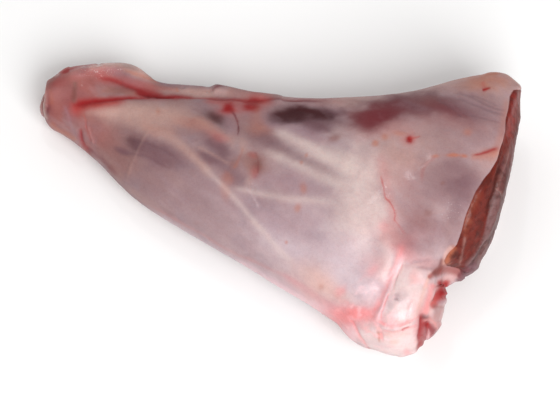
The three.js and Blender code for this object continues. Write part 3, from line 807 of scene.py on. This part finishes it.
# The underside, in mm along and across the leg: muscles, bands of fascia, a vein and specks
UNDERSIDE = [
    Patch("dark muscle of the shin", "purple", 0.6, (-14, 14), (24, 5), 14),
    Patch("dark muscle of the calf", "plum", 0.6, (54, 36), (18, 6), 26),
    Patch("black muscle below", "slate", 0.6, (24, 26), (11, 3.4), 20, 2.6),
    Patch("pale field below", "cream", 0.75, (32, -14), (24, 12), -18),
    Patch("bluish field", "mist", 0.6, (34, -32), (28, 8), -22),
    Patch("brown muscle below", "umber", 0.5, (-52, 4), (14, 7), -20),
    Line("long band", "cream", 0.65, (1.6, 3.6), [(-70, 6), (-40, 0), (0, -12), (45, -34)], 0.4),
    Line("middle band", "cream", 0.6, (1.6, 3.0), [(-45, 10), (-5, 5), (40, 2), (80, 10)], 0.3),
    Line("calf band", "tan", 0.6, (2.0, 2.6), [(-60, 22), (-20, 22), (25, 34), (70, 50)], 0.3),
    Line("crossing band", "fascia", 0.6, (1.2, 1.6), [(-8, 6), (6, -4), (26, -10), (48, -10)], 0.3),
    Line("vein", "vessel", 0.6, (0.5, 0.4), [(-10, 2), (4, 6), (16, 5), (30, 12), (38, 11)]),
    Line("vein's arm", "vessel", 0.5, (0.4, 0.3), [(16, 5), (24, 1), (33, 2)]),
    Line("blood at the hock", "blood", 0.7, (1.2, 0.7), [(-78, 12), (-62, 15), (-42, 16)], -0.3),
    Patch("first red spot", "blood", 0.8, (-18, 24), (2.6, 1.6), 10, 2.6),
    Patch("second red spot", "blood", 0.8, (46, 18), (1.4, 1.6), 0, 2.6),
    Patch("first rusty speck", "rust", 0.5, (8, 16), (2.0, 1.0), 30, 2.4),
    Patch("second rusty speck", "rust", 0.5, (60, -2), (1.2, 1.4), 0, 2.4),
    Patch("third rusty speck", "rust", 0.4, (14, -22), (1.2, 1.0), 0, 2.4),
]


def edge_at(edge, rows):
    """The column of an edge line at each row."""
    return np.interp(rows, [row for column, row in edge], [column for column, row in edge])


def film_over_muscle(canvas, thick):
    """Colours of the film, from thin over dark muscle to thick and pale. On the shown side the share is
    partly painted light: paler where the light falls, darker where it is dim.
    """
    veil, fascia = linear(canvas.paints.veil), linear(canvas.paints.fascia)
    return np.outer(1 - thick, veil) + np.outer(thick, fascia)


def mottle(canvas, thin):
    """Cloudy film over muscle: blotches and streaks that run along the leg, most where the film is thin; on
    the shown side that weight also holds painted shade.
    """
    places = canvas.places
    along = along_leg(places)
    canvas.lay("purple", thin * soft(0.0, 0.6, cloud(along, 0.011, 101)), 0.26)
    canvas.lay("tan", soft(0.0, 0.6, cloud(along, 0.014, 109)), 0.3)
    canvas.lay("haze", thin * soft(0.0, 0.5, cloud(places, 0.010, 117)), 0.5)
    canvas.lay("fascia", soft(0.05, 0.5, cloud(along, 0.005, 125)), 0.2)
    canvas.lay("umber", thin * soft(0.1, 0.6, cloud(places, 0.006, 133)), 0.15)


def tear(canvas):
    """Torn tissue round the knee: fine pink and white streaks down the joint."""
    torn = canvas.mask(TORN)
    down = drawn_out(canvas.places, across=0.4)
    canvas.lay("coral", torn * soft(0.1, 0.5, cloud(down, 0.0035, 141, 3)), 0.4)
    canvas.lay("silk", torn * soft(0.1, 0.5, cloud(down, 0.0028, 149, 3)), 0.5)
    canvas.height += 0.2 * MM * torn * canvas.seen * cloud(down, 0.003, 149, 3)


def paint_shown_side(canvas):
    """What the camera sees, from the broad areas to the smallest marks."""
    canvas.seen = soft(-0.35, 0.0, canvas.facing + 0.2 * cloud(canvas.places, 0.012, 51))
    seen = canvas.seen[:, None]
    # Painted light and shade: the film runs from dark at the upper left to pale at the lower right, partly
    # for its thickness and partly as painted light from the lower right.
    thick = soft(150, 470, canvas.columns * 0.82 + canvas.rows * 0.57)
    canvas.colour = canvas.colour * (1 - seen) + film_over_muscle(canvas, thick) * seen
    canvas.draw(BROAD)
    hock = 1 - soft(80, 124, canvas.columns + 0.25 * (canvas.rows - 100))
    canvas.lay("rose", hock, 0.92)
    # The mottle's weight comes from the same share, so it is partly painted shade too.
    mottle(canvas, 1 - 0.6 * thick)
    canvas.draw(MUSCLE)
    canvas.lay("lavender", soft(0.1, 0.6, cloud(along_leg(canvas.places), 0.005, 161)), 0.16)
    for marks in (BANDS, HOCK, SPOTS, VESSELS, KNEE):
        canvas.draw(marks)
    tear(canvas)
    canvas.draw_behind(JOINT)


def paint_hidden_side(canvas, normals):
    """The underside, by rule: film over muscle, with long bands of fascia along the leg."""
    places = canvas.places
    along, across = places[:, :2].T
    leg = along_leg(places)
    canvas.colour = film_over_muscle(canvas, soft(-0.09, 0.05, along))
    canvas.lay("mauve", soft(0.0, 0.03, across), 0.8)
    canvas.lay("mist", soft(0.0, -0.03, across) * soft(0.0, 0.04, along), 0.7)
    canvas.lay("cream", soft(0.1, 0.55, cloud(leg, 0.016, 23)), 0.6)
    canvas.lay("purple", soft(0.1, 0.6, cloud(leg, 0.014, 11)), 0.7)
    canvas.lay("plum", soft(0.3, 0.7, cloud(leg, 0.012, 15)) * soft(-0.02, 0.03, across), 0.6)
    mottle(canvas, np.ones(len(places)))
    plan = Canvas(places, along / MM, across / MM, canvas.paints)
    plan.seen = soft(0.1, -0.3, normals[:, 2])
    plan.colour = canvas.colour
    plan.draw(UNDERSIDE)
    canvas.colour = plan.colour
    canvas.height += plan.height
    canvas.lay("rose", 1 - soft(-0.084, -0.05, along + 0.012 * canvas.drift[:, 0]), 0.92)
    reach = np.hypot((along - 0.066) / 0.03, (across + 0.048) / 0.024) + 0.3 * cloud(places, 0.012, 43)
    knee = soft(1.2, 0.7, reach)
    canvas.lay("white", knee, 0.85)
    canvas.lay("coral", knee * (1 - knee) * 3, 0.4)


def from_hock(places, depth):
    """How far each place is behind the hock's end, and how far it is from that end's middle line."""
    behind = places[:, 0] - places[:, 0].min()
    middle = places[behind < depth][:, 1:].mean(axis=0)
    return behind, np.hypot(*(places[:, 1:] - middle).T)


def paint_hock_end(canvas, normals):
    """The hock's end: gristle round the bone, blood in the gap and darker tissue further out."""
    places = canvas.places
    behind, spread = from_hock(places, HOCK_ROUND)
    spread = spread + 1.6 * MM * canvas.drift[:, 0]
    gristle = soft(8.5 * MM, 5.5 * MM, spread)
    gap = np.exp(-((spread - 4 * MM) / (0.9 * MM)) ** 2)
    shown = canvas.seen
    canvas.seen = soft(-0.3, -0.7, normals[:, 0]) * soft(11 * MM, 6 * MM, behind)
    canvas.lay("plum", soft(0.1, 0.6, cloud(places, 0.006, 45)), 0.5)
    canvas.lay("cream", gristle, 0.65)
    canvas.lay("blush", soft(0.0, 0.5, cloud(places, 0.004, 47)), 0.5)
    canvas.lay("blood", gap, 0.7)
    canvas.seen = shown


def paint_cut(canvas, normals):
    """The butcher's cut: red muscles with deep grain, film between them, and film over the far side.

    Gives back how much of each vertex is cut.
    """
    places = canvas.places
    past = canvas.columns + 0.8 * canvas.drift[:, 0] - edge_at(CUT_EDGE, canvas.rows)
    over = canvas.columns + 1.5 * canvas.drift[:, 1] - edge_at(FILM_EDGE, canvas.rows)
    faces_out = soft(0.02, 0.16, normals[:, 0])
    above_knee = soft(-0.034, -0.028, places[:, 1]) * soft(0.055, 0.065, places[:, 0])
    hidden = soft(0.3, 0.5, normals[:, 0]) * soft(0.001, 0.004, places[:, 2])
    kept = soft(-0.12, 0.04, canvas.facing)
    cut = (soft(-0.7, 0.7, past) * kept + hidden * (1 - kept)) * faces_out * above_knee
    shown = canvas.seen
    canvas.seen = np.ones(len(places))
    canvas.lay("cut", cut)
    bend = np.column_stack([cloud(places, 0.022, 97), cloud(places, 0.022, 99)])
    bent = places[:, 1:] / MM + 3 * canvas.drift + 8 * bend
    reach = np.stack([np.hypot(*(bent - middle).T) for middle in CUT_MUSCLES])
    thickness = np.random.default_rng(5).uniform(0.2, 0.9, len(CUT_MUSCLES))[reach.argmin(axis=0)]
    gaps = np.sort(reach, axis=0)
    seam = np.exp(-((gaps[1] - gaps[0]) / 0.9) ** 2) * soft(-0.7, 0.1, cloud(places, 0.008, 95))
    fibre = cloud(places, 0.0034, 41)
    canvas.lay("cut_dark", cut * soft(0.0, 0.5, fibre), 0.5)
    canvas.lay("rust", cut * soft(0.25, 0.6, cloud(places, 0.009, 57)), 0.25)
    film = cut * (soft(-1.5, 1.5, over) * kept + (1 - kept))
    canvas.lay("seam", film * thickness * (0.3 + 0.6 * kept))
    canvas.lay("purple", film * soft(0.0, 0.5, cloud(places, 0.009, 91)), 0.4)
    canvas.lay("cut_dark", film * soft(0.1, 0.5, cloud(places, 0.0025, 71)), 0.4)
    canvas.lay("tan", film * seam * (1 - 0.4 * kept), 0.75)
    canvas.seen = cut * kept
    canvas.draw(FILM_STREAKS)
    canvas.seen = shown
    canvas.draw(CUT_FAT)
    canvas.height -= 0.5 * MM * cut * np.exp(-(past / 3) ** 2) * kept
    canvas.height += cut * MM * (0.35 * fibre - 0.5 * seam * film)
    canvas.gloss = np.maximum(canvas.gloss, cut * 0.15)
    return cut


# Meshes

def new_piece(name, mesh, finish, node):
    """Adds a smooth piece that stands for a node of the frame."""
    piece = bpy.data.objects.new(name, mesh)
    bpy.context.scene.collection.objects.link(piece)
    mesh.materials.clear()
    mesh.materials.append(finish)
    for polygon in mesh.polygons:
        polygon.use_smooth = True
    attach(piece, "root")
    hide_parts(node)


def even_cells(mesh, cell):
    """The mesh with its surface remade of even cells."""
    holder = bpy.data.objects.new("holder", mesh)
    bpy.context.scene.collection.objects.link(holder)
    remesh = holder.modifiers.new("even", "REMESH")
    remesh.mode = "VOXEL"
    remesh.voxel_size = cell
    depsgraph = bpy.context.evaluated_depsgraph_get()
    made = bpy.data.meshes.new_from_object(holder.evaluated_get(depsgraph))
    bpy.data.objects.remove(holder)
    return made


def merged_copy(node):
    """A node's solid with its facets joined at their corners."""
    body = bmesh.new()
    body.from_mesh(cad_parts[node].data)
    bmesh.ops.remove_doubles(body, verts=body.verts, dist=1e-6)
    return body


def mesh_of(body, name):
    """A mesh made from a bmesh, which is freed."""
    mesh = bpy.data.meshes.new(name)
    body.to_mesh(mesh)
    body.free()
    return mesh


def close_round_bone(body):
    """Takes the bone's channel out of the meat, and closes the meat over it behind the bone's ends."""
    bone = merged_copy("bone")
    tree = BVHTree.FromBMesh(bone)
    channel = [face for face in body.faces if tree.find_nearest(face.calc_center_median())[3] < CHANNEL_GAP]
    bmesh.ops.delete(body, geom=channel, context="FACES")
    bone.free()
    rim = [edge for edge in body.edges if edge.is_boundary]
    bmesh.ops.holes_fill(body, edges=rim, sides=0)
    bmesh.ops.triangulate(body, faces=body.faces)
    bmesh.ops.recalc_face_normals(body, faces=body.faces)


def array_of(items, name, width):
    """One field of many items, a row for each."""
    flat = np.empty(len(items) * width, dtype=np.int32 if name == "vertices" else np.float32)
    items.foreach_get(name, flat)
    return flat.reshape(-1, width)


def surface_of(mesh):
    """Places and normals of the mesh's vertices."""
    places = array_of(mesh.vertices, "co", 3).astype(float)
    return places, array_of(mesh.vertices, "normal", 3).astype(float)


def move_vertices(mesh, places):
    """Puts the mesh's vertices at the places."""
    mesh.vertices.foreach_set("co", places.astype(np.float32).ravel())
    mesh.update()


def smooth_surface(mesh, rounds):
    """Smooths the facets away."""
    move_vertices(mesh, relaxed(surface_of(mesh)[0], array_of(mesh.edges, "vertices", 2), rounds))


def finer_where(mesh, inside):
    """The mesh with its cells split in four between the vertices that are inside."""
    body = bmesh.new()
    body.from_mesh(mesh)
    body.verts.ensure_lookup_table()
    edges = [edge for edge in body.edges if inside[edge.verts[0].index] and inside[edge.verts[1].index]]
    bmesh.ops.subdivide_edges(body, edges=edges, cuts=1, use_grid_fill=True)
    bmesh.ops.triangulate(body, faces=[face for face in body.faces if len(face.verts) > 4])
    return mesh_of(body, "meat_dressed")


def camera_canvas(places, normals, stage, paints):
    """A canvas laid out as the camera sees it."""
    canvas = Canvas(places, *picture_places(places, stage), paints)
    canvas.facing = normals @ camera_axes(stage)[2]
    return canvas


def near_fine_marks(canvas):
    """Whether each vertex is shown and lies on a mark that needs fine cells."""
    edges = [Line("edge of the cut", "", 0, (2.5, 2.5), edge) for edge in (CUT_EDGE, FILM_EDGE)]
    near = np.zeros(len(canvas.places))
    for mark in (*HOCK, *VESSELS, *SPOTS, *KNEE, *JOINT, *FILM_STREAKS, *edges):
        if min(mark.half if isinstance(mark, Line) else mark.radii) < FINE_MARK:
            near = np.maximum(near, canvas.mask(mark))
    return (near > 0.04) & (canvas.facing > -0.1)


def round_hock(places):
    """The hock's flat end swelled into a round rim about the bone."""
    behind, spread = from_hock(places, HOCK_FLAT)
    rim = soft(13.5 * MM, 7 * MM, spread) * soft(3 * MM, 6 * MM, spread)
    swelled = places.copy()
    swelled[:, 0] -= HOCK_RIM * rim * soft(8 * MM, 2 * MM, behind)
    return swelled


def push_out_end(places):
    """The bone's end at the hock moved out, level with the rim of the meat round it."""
    behind = from_hock(places, HOCK_FLAT)[0]
    pushed = places.copy()
    pushed[:, 0] -= BONE_PUSH * soft(6 * MM, 2 * MM, behind)
    return pushed


def store(mesh, name, kind, values):
    """Keeps a value for each vertex, which the material reads by its name."""
    layer = mesh.attributes.new(name, kind, "POINT")
    field = "color" if kind == "FLOAT_COLOR" else "value"
    layer.data.foreach_set(field, np.ascontiguousarray(values, dtype=np.float32).ravel())


def dress(mesh, canvas, normals, relief):
    """Moves the mesh out by the canvas's relief, down to the table at most, and stores its paint."""
    places = canvas.places + normals * (canvas.height * relief)[:, None]
    places[:, 2] = np.maximum(places[:, 2], 0.0)
    move_vertices(mesh, places)
    store(mesh, "tint", "FLOAT_COLOR", np.column_stack([canvas.colour, np.ones(len(places))]))


# Shader maths

# Numbers of a Mix node's sockets for colours, which share their names with those for values
FACTOR, FIRST, SECOND = 0, 6, 7
RESULT = 2


def feed(tree, socket, value):
    """Links a wire to a socket, or sets the socket to a value."""
    if isinstance(value, Wire):
        tree.links.new(value.socket, socket)
    else:
        socket.default_value = value


class Wire:
    """A socket, with arithmetic that adds Math nodes."""

    def __init__(self, tree, socket):
        self.tree = tree
        self.socket = socket

    def math(self, operation, first, second):
        node = self.tree.nodes.new("ShaderNodeMath")
        node.operation = operation
        for socket, value in zip(node.inputs, (first, second)):
            feed(self.tree, socket, value)
        return Wire(self.tree, node.outputs[0])

    def __add__(self, other):
        return self.math("ADD", self, other)

    def __radd__(self, other):
        return self.math("ADD", other, self)

    def __sub__(self, other):
        return self.math("SUBTRACT", self, other)

    def __rsub__(self, other):
        return self.math("SUBTRACT", other, self)

    def __mul__(self, other):
        return self.math("MULTIPLY", self, other)

    def __rmul__(self, other):
        return self.math("MULTIPLY", other, self)


class Finish:
    """A material whose nodes are added one by one."""

    def __init__(self, name):
        self.material = bpy.data.materials.new(name)
        self.material.use_nodes = True
        self.tree = self.material.node_tree
        self.tree.nodes.clear()

    def node(self, kind, settings, sockets, output=0):
        """A node of a kind: its settings, set first, its sockets' values or wires, and the output used."""
        made = self.tree.nodes.new("ShaderNode" + kind)
        for name, value in settings.items():
            setattr(made, name, value)
        for name, value in sockets.items():
            feed(self.tree, made.inputs[name], value)
        return Wire(self.tree, made.outputs[output])

    def place(self):
        """Places on the piece."""
        return self.node("TexCoord", {}, {}, "Object")

    def stored(self, name, output="Fac"):
        """Values that the mesh keeps under a name."""
        return self.node("Attribute", {"attribute_name": name}, {}, output)

    def noise(self, place, scale, detail):
        """Even noise with so many bumps to the metre."""
        return self.node("TexNoise", {},
                         {"Vector": place, "Scale": scale, "Detail": detail, "Roughness": 0.55})

    def range(self, value, low, high):
        """A smooth step from 0 at the low value to 1 at the high one."""
        return self.node("MapRange", {"interpolation_type": "SMOOTHSTEP"},
                         {"Value": value, "From Min": low, "From Max": high})

    def mix(self, amount, first, second, blend="MIX"):
        """The second colour over the first."""
        return self.node("Mix", {"data_type": "RGBA", "blend_type": blend},
                         {FACTOR: amount, FIRST: first, SECOND: second}, RESULT)

    def darken(self, amount, under, shade):
        """A colour multiplied by a shade."""
        return self.mix(amount, under, (*shade, 1), "MULTIPLY")

    def close(self, sockets):
        """The finished material."""
        shader = self.node("BsdfPrincipled", {}, sockets)
        out = self.tree.nodes.new("ShaderNodeOutputMaterial")
        self.tree.links.new(shader.socket, out.inputs["Surface"])
        return self.material


def raw_meat():
    """Moist film over muscle: painted tissue colours, fine mottling, satin gloss where it is wet, and painted
    white glints there.
    """
    f = Finish("raw_meat")
    place = f.place()
    tint = f.stored("tint", "Color")
    gloss = f.stored("gloss")
    cut = f.stored("cut")
    mottle = f.noise(place, 150, 5)
    blotch = f.noise(place, 360, 4)
    fine = f.noise(place, 900, 3)
    fibre = f.noise(place, 420, 4)
    pores = f.noise(place, 2400, 2)
    wet = f.noise(place, 420, 3)
    deep = f.darken(f.range(mottle, 0.4, 0.68) * 0.35, tint, (0.84, 0.78, 0.80))
    patched = f.darken(f.range(blotch, 0.42, 0.66) * 0.2, deep, (0.87, 0.82, 0.83))
    speckled = f.darken(f.range(fine, 0.45, 0.7) * 0.32, patched, (0.88, 0.84, 0.86))
    grained = f.darken(cut * f.range(fibre, 0.45, 0.65), speckled, (0.74, 0.64, 0.62))
    pored = f.darken(f.range(pores, 0.45, 0.62) * 0.4, grained, (0.88, 0.84, 0.86))
    # Painted highlights: tiny near-white glints mixed into the base colour where the film is wet.
    painted_glints = f.range(pores, 0.6, 0.72) * f.range(gloss, 0.2, 0.7) * 0.4
    height = mottle * 0.5 + fine * 0.18 + fibre * cut * 0.9 + wet * gloss * 2.2
    return f.close({
        "Base Color": f.mix(painted_glints, pored, (1.0, 0.93, 0.93, 1)),
        "Roughness": 0.58 - gloss * 0.34 + (fine - 0.5) * 0.2,
        "Normal": f.node("Bump", {}, {"Strength": 0.3, "Distance": 0.0009, "Height": height}),
        "Subsurface Weight": 0.2,
        "Subsurface Radius": (1.0, 0.42, 0.32),
        "Subsurface Scale": 0.0018,
        "Specular IOR Level": 0.16,
        "Coat Weight": gloss * 0.8,
        "Coat Roughness": 0.1,
    })


def moist_cartilage():
    """Smooth cartilage over bone: bluish white with a pink cast, and a wet shine."""
    f = Finish("moist_cartilage")
    place = f.place()
    mottle = f.noise(place, 130, 4)
    fine = f.noise(place, 600, 3)
    tint = f.stored("tint", "Color")
    height = mottle * 0.6 + fine * 0.2
    return f.close({
        "Base Color": f.darken(f.range(mottle, 0.45, 0.7) * 0.6, tint, (0.86, 0.76, 0.78)),
        "Roughness": 0.3 + (fine - 0.5) * 0.2,
        "Normal": f.node("Bump", {}, {"Strength": 0.25, "Distance": 0.0006, "Height": height}),
        "Subsurface Weight": 0.3,
        "Subsurface Radius": (1.0, 0.55, 0.45),
        "Subsurface Scale": 0.003,
        "Specular IOR Level": 0.16,
        "Coat Weight": 0.15,
        "Coat Roughness": 0.12,
    })


def pale_floor():
    """Matt white, a little uneven."""
    f = Finish("pale_floor")
    tone = f.mix(f.noise(f.place(), 6, 2) * 0.1, (0.93, 0.93, 0.93, 1), (0.88, 0.88, 0.88, 1))
    return f.close({"Base Color": tone, "Roughness": 0.9})


# Pieces

class ShankMeat(bpy.types.Operator):
    """Builds the muscle body with its film, its vessels, the knee's capsule and the cut"""
    bl_idname = "shank.meat"
    bl_label = "Meat"

    def execute(self, context):
        paints, sizes, stage = settings()
        body = merged_copy("meat")
        close_round_bone(body)
        mesh = even_cells(mesh_of(body, "meat_base"), sizes.cell)
        smooth_surface(mesh, sizes.rounds)
        normals = surface_of(mesh)[1]
        shown = normals @ camera_axes(stage)[2] > 0.0
        cut_side = normals[:, 0] > 0.3
        mesh = finer_where(mesh, shown | cut_side)
        smooth_surface(mesh, SHOWN_ROUNDS)
        mesh = finer_where(mesh, near_fine_marks(camera_canvas(*surface_of(mesh), stage, paints)))
        smooth_surface(mesh, MARK_ROUNDS)
        places, normals = surface_of(mesh)
        canvas = camera_canvas(round_hock(places), normals, stage, paints)
        paint_hidden_side(canvas, normals)
        paint_shown_side(canvas)
        paint_hock_end(canvas, normals)
        cut = paint_cut(canvas, normals)
        canvas.shape(OUTLINE)
        canvas.wet(WET)
        uneven = 0.25 * cloud(canvas.places, 0.014, 31) + 0.05 * cloud(canvas.places, 0.003, 33, 2)
        canvas.height += MM * uneven
        dress(mesh, canvas, normals, sizes.relief)
        store(mesh, "gloss", "FLOAT", canvas.gloss)
        store(mesh, "cut", "FLOAT", cut)
        new_piece("meat_dressed", mesh, raw_meat(), "meat")
        return {"FINISHED"}


class ShankBone(bpy.types.Operator):
    """Builds the bone with the cartilage on its two ends and torn tissue round its head"""
    bl_idname = "shank.bone"
    bl_label = "Bone"

    def execute(self, context):
        paints, sizes, stage = settings()
        mesh = even_cells(mesh_of(merged_copy("bone"), "bone_base"), sizes.bone_cell)
        smooth_surface(mesh, sizes.rounds)
        places, normals = surface_of(mesh)
        places = push_out_end(places)
        canvas = camera_canvas(places, normals, stage, paints)
        canvas.colour = np.tile(linear(paints.cartilage), (len(places), 1))
        torn = soft(-0.1, 0.5, cloud(places, 0.007, 67) - 0.8 * soft(0.5, 0.95, normals[:, 0]))
        canvas.lay("blood", torn, 0.6)
        canvas.lay("blush", soft(0.1, 0.6, cloud(places, 0.009, 63)), 0.5)
        uneven = 0.4 * cloud(places, 0.008, 61) + torn * (0.5 * cloud(places, 0.003, 65) - 0.7)
        canvas.height = MM * uneven
        canvas.seen = soft(-0.3, 0.0, canvas.facing)
        canvas.draw_behind(JOINT)
        canvas.lay("rose", 1 - soft(60, 90, canvas.columns), 0.45)
        canvas.draw(HOCK)
        canvas.shape(HEAD_OUTLINE)
        dress(mesh, canvas, normals, sizes.relief)
        new_piece("bone_dressed", mesh, moist_cartilage(), "bone")
        return {"FINISHED"}


class ShankStageMaker(bpy.types.Operator):
    """Builds the floor, the lights and the camera"""
    bl_idname = "shank.stage"
    bl_label = "Stage"

    def execute(self, context):
        scene = context.scene
        stage = scene.shank_stage
        body = bmesh.new()
        bmesh.ops.create_grid(body, x_segments=8, y_segments=8, size=FLOOR_HALF)
        bmesh.ops.translate(body, verts=body.verts, vec=(0, 0, -FLOOR_DROP))
        floor = bpy.data.objects.new("floor", mesh_of(body, "floor"))
        floor.data.materials.append(pale_floor())
        scene.collection.objects.link(floor)
        camera = bpy.data.cameras.new("camera")
        camera.lens = stage.lens
        camera.sensor_width = SENSOR
        scene.camera = self.put("camera", camera, camera_place(stage), -camera_axes(stage)[2])
        for name, (share, width, place) in LIGHTS.items():
            lamp = bpy.data.lights.new(name, "AREA")
            lamp.energy = stage.key * share
            lamp.size = width
            self.put(name, lamp, place, -np.array(place))
        world = bpy.data.worlds.new("studio")
        world.use_nodes = True
        sky = world.node_tree.nodes["Background"]
        sky.inputs["Color"].default_value = SKY_TINT
        sky.inputs["Strength"].default_value = stage.sky
        scene.world = world
        scene.view_settings.view_transform = "Standard"
        scene.view_settings.look = "None"
        return {"FINISHED"}

    def put(self, name, data, place, way):
        """Puts the camera or a light at a place, looking a way."""
        holder = bpy.data.objects.new(name, data)
        holder.location = place
        holder.rotation_mode = "QUATERNION"
        holder.rotation_quaternion = Vector(way).to_track_quat("-Z", "Y")
        bpy.context.scene.collection.objects.link(holder)
        return holder


class ShankPanel(bpy.types.Panel):
    """Lists the steps and settings of the shank"""
    bl_idname = "VIEW3D_PT_shank"
    bl_label = "Raw lamb shank"
    bl_space_type = "VIEW_3D"
    bl_region_type = "UI"
    bl_category = "Shank"

    def draw(self, context):
        for step in OPERATORS:
            self.layout.operator(step.bl_idname)
        for group in (context.scene.shank_sizes, context.scene.shank_stage, context.scene.shank_paints):
            box = self.layout.box()
            for name in group.__annotations__:
                box.prop(group, name)


OPERATORS = (ShankMeat, ShankBone, ShankStageMaker)
GROUPS = {"shank_paints": ShankPaints, "shank_sizes": ShankSizes, "shank_stage": ShankStage}


def register():
    for group in GROUPS.values():
        bpy.utils.register_class(group)
    for name, group in GROUPS.items():
        setattr(bpy.types.Scene, name, PointerProperty(type=group))
    for step in (*OPERATORS, ShankPanel):
        bpy.utils.register_class(step)


def unregister():
    for step in (ShankPanel, *OPERATORS):
        bpy.utils.unregister_class(step)
    for name, group in GROUPS.items():
        delattr(bpy.types.Scene, name)
        bpy.utils.unregister_class(group)


def main():
    register()
    bpy.ops.shank.meat()
    bpy.ops.shank.bone()
    bpy.ops.shank.stage()


if __name__ == "__main__":
    main()
